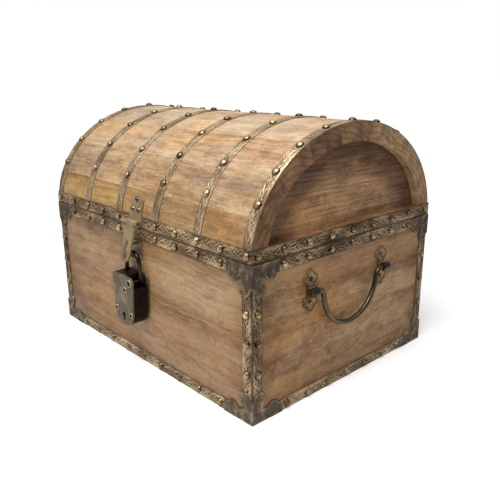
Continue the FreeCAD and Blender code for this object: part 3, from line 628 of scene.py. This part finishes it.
def softened(node, name, material, border=0.0, sink=0.0, rim=0.0, proud=None):
    """A solid's copy with rounded edges. Relief is 1 along those edges, else 0: there the finish is rubbed,
    with a painted highlight on the padlock's plates and body, and painted dark shade in the handle finish.
    With a border, the field of each outer face lies lower inside it, and the border's relief is rim. What
    stands further than proud from the end of the box is a handle's eye: it is slimmed, and is an edge too."""
    mesh = nodes[node].data.copy()
    mesh.name = name
    bm = bmesh.new()
    bm.from_mesh(mesh)
    bmesh.ops.remove_doubles(bm, verts=bm.verts, dist=weld_distance)
    bmesh.ops.dissolve_limit(bm, angle_limit=flat_angle, verts=bm.verts, edges=bm.edges)
    sharp = [e for e in bm.edges if len(e.link_faces) == 2 and e.calc_face_angle() > bevel_angle]
    done = bmesh.ops.bevel(bm, geom=sharp, offset=plate_bevel, segments=bevel_segments, profile=0.5,
                           affect="EDGES", clamp_overlap=True)
    rounded = set(done["faces"])
    rubbed = {v for f in rounded for v in f.verts}
    broad = [f for f in bm.faces if f not in rounded and f.calc_area() > broad_side ** 2]
    bmesh.ops.inset_individual(bm, faces=broad, thickness=plate_bevel, depth=0)
    layer = bm.verts.layers.float.new("relief")
    for vert in bm.verts:
        vert[layer] = 1.0 if vert in rubbed else 0.0
    if border:
        chest_middle = Vector((0, 0, half_depth / 2))
        bordered_side = 4 * border
        outer = [f for f in bm.faces if f.calc_area() > bordered_side ** 2
                 and f.normal.dot(f.calc_center_median() - chest_middle) > 0]
        for vert in {v for f in outer for v in f.verts}:
            vert[layer] = max(vert[layer], rim)
        bmesh.ops.inset_individual(bm, faces=outer, thickness=border, depth=0)
        for vert in {v for f in outer for v in f.verts}:
            vert[layer] = rim
        bmesh.ops.inset_individual(bm, faces=outer, thickness=sink, depth=-sink)
        for vert in {v for f in outer for v in f.verts}:
            vert[layer] = 0.0
    if proud:
        for vert in bm.verts:
            if abs(vert.co.x) > half_length + proud:
                vert[layer] = 1.0
            slim_eye(vert)
    bm.to_mesh(mesh)
    bm.free()
    finish_shading(mesh, smooth_angle)
    add_piece(name, mesh, material, node)


# Materials

def grey(value):
    return (value, value, value)


class NodeTree:
    """The node tree of a material or a world, with helpers that add to it."""

    def __init__(self, owner):
        owner.use_nodes = True
        self.tree = owner.node_tree

    def feed(self, socket, value):
        if isinstance(value, bpy.types.NodeSocket):
            self.tree.links.new(value, socket)
        else:
            socket.default_value = value

    def add(self, kind, inputs=(), **settings):
        node = self.tree.nodes.new(kind)
        for key, value in settings.items():
            setattr(node, key, value)
        for key, value in dict(inputs).items():
            self.feed(node.inputs[key], value)
        return node


class Finish(NodeTree):
    """A procedural material."""

    def __init__(self, name):
        self.material = bpy.data.materials.new(name)
        super().__init__(self.material)
        self.shader = self.tree.nodes["Principled BSDF"]

    def set(self, **values):
        """Feeds the shader's own sockets, named in small letters."""
        for key, value in values.items():
            self.feed(self.shader.inputs[key.replace("_", " ").title().replace("Ior", "IOR")], value)

    def place(self, scale, offset=(0, 0, 0)):
        spot = self.add("ShaderNodeTexCoord").outputs["Object"]
        return self.add("ShaderNodeMapping", {"Vector": spot, "Location": offset, "Scale": scale}).outputs[0]

    def noise(self, place, detail, roughness, distortion):
        return self.add("ShaderNodeTexNoise", {"Vector": place, "Scale": 1.0, "Detail": detail,
                                               "Roughness": roughness, "Distortion": distortion})

    def math(self, kind, first, second):
        return self.add("ShaderNodeMath", {0: first, 1: second}, operation=kind).outputs[0]

    def vector(self, kind, *values):
        node = self.add("ShaderNodeVectorMath", dict(enumerate(values)), operation=kind)
        return node.outputs["Value" if kind == "LENGTH" else "Vector"]

    def swing(self, noise, share):
        """A noise's difference from its middle value, times share."""
        return self.math("MULTIPLY", self.math("SUBTRACT", noise, 0.5), share)

    def ramp(self, value, stops):
        """Colours at places from 0 to 1, and those between them."""
        stops = list(stops)
        node = self.add("ShaderNodeValToRGB", {"Fac": value})
        elements = node.color_ramp.elements
        while len(elements) < len(stops):
            elements.new(0.5)
        for element, (place, colour) in zip(elements, stops):
            element.position = place
            element.color = (*colour, 1)
        return node.outputs["Color"]

    def levels(self, value, *stops):
        """A ramp of greys, from pairs of place and level."""
        return self.ramp(value, [(place, grey(level)) for place, level in stops])

    def mix(self, factor, first, second, blend="MIX"):
        node = self.add("ShaderNodeMix", data_type="RGBA", blend_type=blend)
        for index, value in ((0, factor), (6, first), (7, second)):
            self.feed(node.inputs[index], (*value, 1) if isinstance(value, tuple) else value)
        return node.outputs[2]

    def bump(self, height, strength, distance):
        node = self.add("ShaderNodeBump", {"Height": height, "Strength": strength, "Distance": distance})
        return node.outputs["Normal"]


def wood(node, axis, colours, seed, heart=(0.0, 0.05), sway=0.02, ring_share=0.45, ring_spacing=0.0048,
         streak_share=0.5, dash_share=0.35, mottle_share=0.4, stroke_share=0.75, reach=1.0, vein=None,
         end_shade=(0.8, 0.68, 0.52), rim=None, trim_shade=None):
    """Finishes a node as plain-sawn wood with its grain along axis, 0 or 1, in a dark, a middle and a light
    colour. heart is where the tree's middle lay, across and upward. sway bends its rings, and ring_share,
    streak_share and dash_share darken them, the long streaks and the pores. mottle_share and stroke_share set
    its blotches and fine strokes, and reach lengthens those strokes. vein is the height, half width and tint
    of a run of dark streaks. end_shade tints the end grain. rim is the half width, height and foot of an
    arched panel whose edge is darker, partly as dirt and partly as painted shade in its recess, and grime
    the half length, foot and top of a board darkened along its trim as painted shade."""
    finish = Finish("wood_" + node)
    offset = np.random.default_rng(seed).uniform(-3, 3, 3)

    def grain(along, across):
        scale = np.full(3, float(across))
        scale[axis] = along
        return finish.place(scale, offset * scale / 8)

    def noise(kind, output="Fac"):
        along, across, *look = wood_noises[kind]
        if kind in fine_strokes:
            along /= reach
        return finish.noise(grain(along, across), *look).outputs[output]

    def above(value, low, high, share=1.0):
        return finish.math("MULTIPLY", finish.levels(value, (low, 0.0), (high, 1.0)), share)

    def tinted(colour, mask, tint):
        return finish.mix(mask, colour, finish.mix(1.0, colour, tint, "MULTIPLY"))

    def marked(colour, value, mark, share=1.0):
        low, high, tint = mark
        return tinted(colour, above(value, low, high, share), tint)

    broad, bands, lines, fibres = noise("broad"), noise("bands"), noise("lines"), noise("fibres")
    mottles, smudges = noise("mottles"), noise("smudges")

    spot = finish.add("ShaderNodeTexCoord").outputs["Object"]
    moved = finish.vector("MULTIPLY_ADD", noise("swaying", "Color"), (sway,) * 3, spot)
    centre = np.zeros(3)
    centre[1 - axis], centre[2] = heart
    cross_section = np.ones(3)
    cross_section[axis] = 0
    outward = finish.vector("SUBTRACT", moved, centre)
    radius = finish.vector("LENGTH", finish.vector("MULTIPLY", outward, cross_section))

    def rings(spacing, waves):
        year = finish.math("ADD", finish.math("MULTIPLY", radius, 1 / spacing), waves)
        return finish.levels(finish.math("FRACT", year, 0), *ring_levels)

    tone = 0.5
    for part, share in ((broad, 0.45), (bands, 0.25), (lines, 0.3 * stroke_share),
                        (fibres, 0.45 * stroke_share), (mottles, mottle_share), (noise("specks"), 0.3)):
        tone = finish.math("ADD", tone, finish.swing(part, share))
    colour = finish.ramp(tone, zip(tone_stops, colours))
    hues = finish.add("ShaderNodeSeparateColor", {0: noise("hues", "Color")})
    for channel, mark in zip(hues.outputs, hue_marks):
        colour = marked(colour, channel, mark)
    ring_shade = finish.ramp(rings(ring_spacing, bands), [(0.0, ring_tint), (ring_fade, grey(1.0))])
    ringed = finish.mix(1.0, colour, ring_shade, "MULTIPLY")
    colour = finish.mix(above(smudges, *ringed_range, ring_share), colour, ringed)
    colour = marked(colour, noise("streaks"), streak_mark, streak_share)
    colour = marked(colour, noise("dashes"), dash_mark, dash_share)
    colour = marked(colour, smudges, smudge_mark, smudge_share)

    cells = finish.add("ShaderNodeTexVoronoi", {"Vector": grain(*knot_cells), "Scale": 1.0},
                       voronoi_dimensions="3D")
    drawn = finish.add("ShaderNodeSeparateColor", {0: cells.outputs["Color"]}).outputs[0]
    near_knot = finish.math("ADD", cells.outputs["Distance"], finish.math("MULTIPLY", lines, knot_wander))
    knots = finish.math("MULTIPLY", finish.levels(near_knot, *knot_levels), above(drawn, *knot_choice))
    colour = tinted(colour, knots, knot_tint)
    apart = finish.add("ShaderNodeSeparateXYZ", {0: spot}).outputs
    if vein:
        middle_height, spread, tint = vein
        height = finish.math("ADD", apart[2], finish.swing(broad, vein_wander))
        off = finish.math("ABSOLUTE", finish.math("SUBTRACT", height, middle_height), 0)
        close = finish.levels(off, (0.0, 1.0), (spread, 0.0))
        colour = tinted(colour, finish.math("MULTIPLY", close, above(lines, *vein_strokes)), tint)
    # Painted shade: the board darkens near its edges, along the trim that covers them
    if trim_shade:
        extent, low, high = trim_shade
        near = finish.math("SUBTRACT", extent, finish.math("ABSOLUTE", apart[axis], 0))
        near = finish.math("MINIMUM", near, finish.math("SUBTRACT", apart[2], low))
        near = finish.math("MINIMUM", near, finish.math("SUBTRACT", high, apart[2]))
        near = finish.math("ADD", near, finish.swing(broad, trim_shade_wander))
        colour = tinted(colour, finish.levels(near, *trim_shade_levels), trim_shade_tint)
    # The arched panel's edge is darkened, partly as dirt and partly as painted shade in its recess
    if rim:
        half, rise, foot = rim
        scale = np.zeros(3)
        scale[axis], scale[2] = 1 / half, 1 / rise
        arch = finish.vector("LENGTH", finish.place(scale, (0, 0, -foot / rise)))
        edge = finish.math("ADD", arch, finish.math("MULTIPLY", broad, rim_wander))
        colour = marked(colour, edge, recess_dirt_and_shade_mark)

    facing = finish.add("ShaderNodeTexCoord").outputs["Normal"]
    lengthwise = finish.add("ShaderNodeSeparateXYZ", {0: facing}).outputs[axis]
    ends = finish.levels(finish.math("ABSOLUTE", lengthwise, 0), *end_levels)
    end_rings = rings(end_ring_spacing, finish.math("MULTIPLY", broad, end_ring_wander))
    cut = finish.mix(1.0, finish.ramp(mottles, zip(blotch_stops, colours)), end_shade, "MULTIPLY")
    end_shading = finish.ramp(end_rings, [(0.0, end_ring_tint), (end_ring_fade, grey(1.0))])
    cut = finish.mix(1.0, cut, end_shading, "MULTIPLY")
    relief = finish.math("ADD", fibres, finish.math("MULTIPLY", lines, line_relief))
    finish.set(base_color=finish.mix(ends, colour, cut), roughness=finish.levels(bands, *wood_roughness),
               specular_ior_level=wood_specular, normal=finish.bump(relief, **wood_bump))
    finish_node(node, finish.material)


def rubbed_metal(name, colours, stops=(0.15, 0.5, 0.9), metallic=0.75, rough=(0.55, 0.36),
                 patina=((0.55, 0.5, 0.44), 55), seed=1, bump=0.0, level=None, mottle=0.55):
    """Metal in three colours, from where it lies deep to where it is proud, with blotches of patina of that
    tint and scale. A solid that has no relief of its own takes a level for all of it."""
    finish = Finish(name)
    offset = np.random.default_rng(seed).uniform(-4, 4, 3)
    if level is None:
        height = finish.add("ShaderNodeAttribute", attribute_name="relief").outputs["Fac"]
    else:
        height = level
    tint, scale = patina
    clouds = finish.noise(finish.place([scale] * 3, offset), *patina_noise).outputs["Fac"]
    specks = finish.noise(finish.place([speck_scale] * 3, offset), *speck_noise).outputs["Fac"]
    worn = finish.math("ADD", height, finish.swing(clouds, mottle))
    colour = finish.ramp(worn, zip(stops, colours))
    shade = finish.ramp(clouds, zip(patina_places, (tint, grey(1.0))))
    colour = finish.mix(patina_share, colour, shade, "MULTIPLY")
    colour = finish.mix(speck_share, colour, finish.levels(specks, *speck_levels), "MULTIPLY")
    finish.set(base_color=colour, metallic=metallic, roughness=finish.levels(worn, *zip(worn_places, rough)))
    if bump:
        finish.set(normal=finish.bump(finish.math("ADD", specks, clouds), metal_bump_strength, bump))
    return finish.material


def shaded(colours, tint):
    return [tuple(c * k for c, k in zip(colour, tint)) for colour in colours]


def wood_finishes():
    """Every wooden node's own finish: front and back, ends, staves, lid panels and rails."""
    tan = ((0.30, 0.185, 0.095), (0.46, 0.305, 0.17), (0.60, 0.43, 0.26))
    brown = ((0.22, 0.12, 0.052), (0.395, 0.232, 0.109), (0.53, 0.335, 0.173))
    deep = ((0.20, 0.105, 0.047), (0.42, 0.243, 0.12), (0.57, 0.36, 0.19))
    front = shaded(tan, (0.78, 0.73, 0.66))
    front_vein = (0.078, 0.022, (0.5, 0.37, 0.31))
    for seed, node in ((3, "front_board"), (4, "back_board"), (5, "bottom_board")):
        wood(node, 0, front, seed, heart=(-0.06, 0.06), sway=0.04, vein=front_vein,
             trim_shade=(half_length, 0.0, front_high.z))
    for seed, node in ((8, "left_board"), (9, "right_board")):
        wood(node, 1, brown, seed, heart=(0.05, 0.09), sway=0.06, ring_share=0.6, ring_spacing=0.0075,
             streak_share=0.3, dash_share=0.18, mottle_share=0.45, stroke_share=0.6,
             trim_shade=(half_depth, 0.0, front_high.z))
    panel_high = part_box("lid_end_panel_right")[1]
    rim = (panel_high.y, panel_high.z - lid_bottom, lid_bottom)
    for seed, node in ((12, "lid_end_panel_left"), (14, "lid_end_panel_right"), (15, "lid_end_rail_left"),
                       (16, "lid_end_rail_right")):
        # The rails take a darker copy of the panels' wood: painted shade against the top light that falls on
        # them
        colours = shaded(deep, (0.72, 0.7, 0.68)) if "rail" in node else deep
        wood(node, 1, colours, seed, heart=(0.0, 0.6), sway=0.01, ring_share=0.9, ring_spacing=0.0042,
             streak_share=0.8, dash_share=0.9, stroke_share=1.0, reach=3.0, rim=rim)
    # Each stave's own tone; the staves near the top of the dome are also paler and bluer as a painted sheen
    tints = ((0.79, 0.75, 0.62), (1.0, 1.03, 1.0), (0.92, 0.94, 1.0), (0.91, 0.96, 1.07), (1.11, 1.22, 1.4),
             (1.0, 1.04, 1.1), (0.97, 1.0, 1.0), (0.9, 0.93, 0.92), (0.82, 0.82, 0.76))
    # How dark each stave's end grain is: partly its own tone, partly painted shade darkening the front
    # staves' ends
    end_tints = (0.44, 0.36, 0.52, 0.36, 0.46, 0.84, 0.77, 0.77, 0.95)
    stave_vein_tint = (0.5, 0.45, 0.54)
    veins = {1: (0.196, 0.014, stave_vein_tint), 7: (0.19, 0.014, stave_vein_tint)}
    front_end_hue, back_end_hue = (1.0, 0.75, 0.53), (1.0, 0.88, 0.78)
    heart_depth = 0.05
    first_stave_seed = 30
    for index, (tint, end_tint) in enumerate(zip(tints, end_tints)):
        node = "lid_stave_%d" % (index + 1)
        y, z, normal = dome_at(np.array([math.pi * (index + 0.5) / len(tints)]))
        heart = (y[0] - heart_depth * normal[0, 1], z[0] - heart_depth * normal[0, 2])
        end_hue = front_end_hue if index <= len(tints) // 2 else back_end_hue
        wood(node, 0, shaded(tan, tint), first_stave_seed + index, heart=heart, sway=0.03,
             ring_spacing=0.0045, mottle_share=0.38, vein=veins.get(index),
             end_shade=shaded([end_hue], grey(end_tint))[0])


def metal_finishes():
    """Every metal finish by a short name. Solids that are shown as they are take one level of wear."""
    metals = {}

    def add(short, name, colours, **look):
        metals[short] = rubbed_metal(name, colours, **look)

    bronze = ((0.132, 0.091, 0.054), (0.41, 0.281, 0.156), (0.81, 0.592, 0.345))
    dark_bronze = ((0.112, 0.078, 0.047), (0.3, 0.21, 0.125), (0.45, 0.335, 0.21))
    blotched = {"stops": (0.0, 0.35, 1.0), "metallic": 0.6, "rough": (0.5, 0.38), "bump": 0.0002,
                "mottle": 1.5, "patina": ((0.52, 0.48, 0.44), 130)}
    even = {"stops": (0.1, 0.5, 0.9), "level": 0.5}
    add("strip", "embossed_strip", bronze)
    # A darker copy of the strip finish: painted shade for the strips on the chest's ends and corners
    add("shaded_strip", "embossed_strip_painted_shade", shaded(bronze, (0.78, 0.78, 0.82)), seed=15)
    add("strap", "embossed_strap", ((0.22, 0.154, 0.094), (0.44, 0.315, 0.195), (0.84, 0.66, 0.43)), seed=14)
    add("foot", "foot_strip", ((0.19, 0.135, 0.087), (0.49, 0.355, 0.224), (0.8, 0.61, 0.38)), seed=2)
    # Dark at the foot and bright at the crown: rubbed brass and dirt, and a painted highlight and painted
    # shade
    add("brass", "nail_brass", ((0.045, 0.03, 0.016), (0.42, 0.295, 0.155), (0.95, 0.75, 0.47)),
        stops=(0.12, 0.5, 0.95), metallic=0.95, rough=(0.4, 0.22), seed=3, patina=((0.4, 0.34, 0.27), 120))
    add("bronze", "dark_bronze", dark_bronze, seed=4, **blotched)
    add("pale_bronze", "pale_bronze", shaded(dark_bronze, (1.3, 1.38, 1.5)), seed=16, **blotched)
    add("aged", "aged_brass", ((0.40, 0.285, 0.16), (0.5, 0.37, 0.215), (0.74, 0.58, 0.37)),
        stops=(0.0, 0.4, 1.0), metallic=0.6, rough=(0.5, 0.36), seed=5, bump=0.00006)
    # Tan in the field and dark at the edges: painted shade along the plates' outlines, and the eyes' own dark
    # iron
    add("handle", "handle_bronze", ((0.36, 0.255, 0.14), (0.2, 0.142, 0.082), (0.035, 0.027, 0.018)),
        stops=(0.0, 0.4, 0.8), metallic=0.7, rough=(0.42, 0.34), seed=6, bump=0.00006)
    add("steel", "bail_steel", ((0.055, 0.04, 0.022), (0.135, 0.098, 0.055), (0.33, 0.25, 0.145)),
        metallic=0.95, rough=(0.34, 0.22), seed=9, **even)
    # Bright along the rounded edges: rubbed metal and a painted highlight
    add("pewter", "lock_plate", ((0.19, 0.158, 0.118), (0.31, 0.26, 0.19), (0.6, 0.5, 0.35)),
        stops=(0.0, 0.35, 1.0), metallic=0.8, rough=(0.48, 0.34), seed=7, bump=0.00008, mottle=1.5,
        patina=((0.66, 0.52, 0.34), 60))
    # Near black, with its rounded edges bright as a painted highlight
    add("iron", "lock_iron", ((0.03, 0.025, 0.02), (0.055, 0.047, 0.038), (0.36, 0.31, 0.24)),
        stops=(0.0, 0.5, 1.0), metallic=0.9, rough=(0.4, 0.22), seed=8)
    add("rivet", "rivet_brass", ((0.02, 0.015, 0.01), (0.3, 0.22, 0.13), (0.62, 0.5, 0.33)),
        stops=(0.2, 0.5, 1.0), metallic=0.8, rough=(0.4, 0.3), seed=10)
    add("stud", "dark_rivet", ((0.05, 0.04, 0.03), (0.13, 0.105, 0.08), (0.3, 0.25, 0.19)),
        metallic=0.95, rough=(0.34, 0.24), seed=11, **even)
    add("rod", "black_rod", ((0.02, 0.017, 0.014), (0.05, 0.043, 0.035), (0.14, 0.12, 0.095)),
        metallic=1.0, rough=(0.28, 0.16), seed=12, **even)
    add("bar", "staple_brass", ((0.2, 0.15, 0.09), (0.36, 0.27, 0.16), (0.5, 0.39, 0.25)),
        metallic=0.7, rough=(0.48, 0.36), seed=13, **even)
    return metals


# Camera, floor and light

def make_camera():
    """The photograph's camera: where it stands, where it looks, and its angle of view."""
    place = Vector((0.48787, -0.42691, 0.29170))
    yaw, pitch, roll = 2.3958, -0.2966, -0.0048
    focal_pixels, frame_pixels, sensor = 597.73, 500, 36.0
    forward = Vector((math.cos(pitch) * math.cos(yaw), math.cos(pitch) * math.sin(yaw), math.sin(pitch)))
    right = forward.cross(Vector((0, 0, 1))).normalized()
    up = right.cross(forward)
    turned = math.cos(roll) * right + math.sin(roll) * up
    upright = math.cos(roll) * up - math.sin(roll) * right
    data = bpy.data.cameras.new("camera")
    data.sensor_fit = "HORIZONTAL"
    data.sensor_width = sensor
    data.lens = focal_pixels / frame_pixels * sensor
    data.clip_start = 0.01
    camera = bpy.data.objects.new("camera", data)
    bpy.context.scene.collection.objects.link(camera)
    facing = Matrix((turned, upright, -forward)).transposed().to_4x4()
    camera.matrix_world = Matrix.Translation(place) @ facing
    bpy.context.scene.camera = camera


def make_floor():
    """A plain pale floor that glows a little for the camera, more so further out, as a lit studio floor does.
    near and far are distances from the middle, with the glow there."""
    near, far = (0.2, 0.4), (0.9, 0.66)
    half = 12
    finish = Finish("floor")
    finish.set(base_color=(0.82, 0.82, 0.82, 1), roughness=0.9, emission_color=(1, 1, 1, 1))
    seen = finish.add("ShaderNodeLightPath").outputs["Is Camera Ray"]
    away = finish.vector("LENGTH", finish.place((1, 1, 1)))
    glow = finish.levels(away, near, far)
    finish.set(emission_strength=finish.math("MULTIPLY", seen, glow))
    corners = [(-half, -half, 0), (half, -half, 0), (half, half, 0), (-half, half, 0)]
    floor = bpy.data.objects.new("floor", bpy.data.meshes.new("floor"))
    floor.data.from_pydata(corners, [], [(0, 1, 2, 3)])
    floor.data.materials.append(finish.material)
    bpy.context.scene.collection.objects.link(floor)


def area_light(name, place, aim, size, power):
    data = bpy.data.lights.new(name, "AREA")
    data.size = size
    data.energy = power
    lamp = bpy.data.objects.new(name, data)
    lamp.location = place
    lamp.rotation_euler = (Vector(aim) - Vector(place)).to_track_quat("-Z", "Y").to_euler()
    bpy.context.scene.collection.objects.link(lamp)


def make_light():
    """Soft studio light: a broad top light, a front light, and a white surround that lights half as much as
    it shows, and that metal mirrors brighter from above than from the sides."""
    diffuse_strength, shown_strength = 0.46, 1.0
    mirror_ramp = {"From Min": 0.1, "From Max": 1.0, "To Min": 0.15, "To Max": 1.0}
    area_light("top_light", place=(0.18, -0.32, 0.74), aim=(0.08, -0.05, 0.2), size=0.42, power=5.4)
    area_light("front_light", place=(-0.6, -1.5, 0.6), aim=(0, 0, 0.1), size=1.0, power=2.5)
    world = bpy.data.worlds.new("surround")
    bpy.context.scene.world = world
    surround = NodeTree(world)
    rays = surround.add("ShaderNodeLightPath").outputs
    direction = surround.add("ShaderNodeTexCoord").outputs["Generated"]
    upward = surround.add("ShaderNodeSeparateXYZ", {0: direction}).outputs["Z"]
    mirrored = surround.add("ShaderNodeMapRange", {"Value": upward, **mirror_ramp}).outputs["Result"]
    lit = surround.add("ShaderNodeMix", {"Factor": rays["Is Glossy Ray"], "A": diffuse_strength,
                                         "B": mirrored})
    seen = surround.add("ShaderNodeMix", {"Factor": rays["Is Camera Ray"], "A": lit.outputs["Result"],
                                          "B": shown_strength})
    background = surround.tree.nodes["Background"]
    surround.feed(background.inputs["Strength"], seen.outputs["Result"])
    surround.feed(background.inputs["Color"], (1, 1, 1, 1))
    bpy.context.scene.view_settings.view_transform = "Standard"


def dress():
    """Gives every node its finish, or a piece that stands for it."""
    wood_finishes()
    metals = metal_finishes()
    make_strips(metals)
    make_nails("base_nails", "base_nail_heads", metals["brass"])
    make_nails("lid_nails", "lid_nail_heads", metals["brass"])
    make_rivets("padlock_rivets", "padlock_rivet_heads", metals["rivet"])
    make_keyhole("padlock_keyhole", metals["rivet"])
    softened("corner_caps", "corner_cap_plates", metals["pale_bronze"], **corner_relief)
    softened("corner_brackets", "corner_bracket_plates", metals["bronze"], **corner_relief)
    for side in ("right", "left"):
        softened(side + "_handle_plates", side + "_handle_eye_plates", metals["handle"], **handle_relief)
    for node, name, metal in (
            ("hasp_plate", "hasp_lid_plate", "aged"), ("hasp_strap", "hasp_slotted_strap", "aged"),
            ("padlock_front_plate", "padlock_face", "pewter"),
            ("padlock_back_plate", "padlock_back", "pewter"),
            ("padlock_case", "padlock_body", "iron"),
            ("base_hinge_leaves", "hinge_leaves_on_box", "handle"),
            ("lid_hinge_leaves", "hinge_leaves_on_lid", "handle")):
        softened(node, name, metals[metal])
    for node, metal in (("hasp_staple", "bar"), ("hasp_pin", "stud"), ("hasp_rivets", "stud"),
                        ("hinge_pins", "steel"), ("right_bail", "steel"), ("left_bail", "steel"),
                        ("padlock_pin", "rod"), ("padlock_shackle", "rod")):
        finish_node(node, metals[metal])


dress()
make_camera()
make_floor()
make_light()
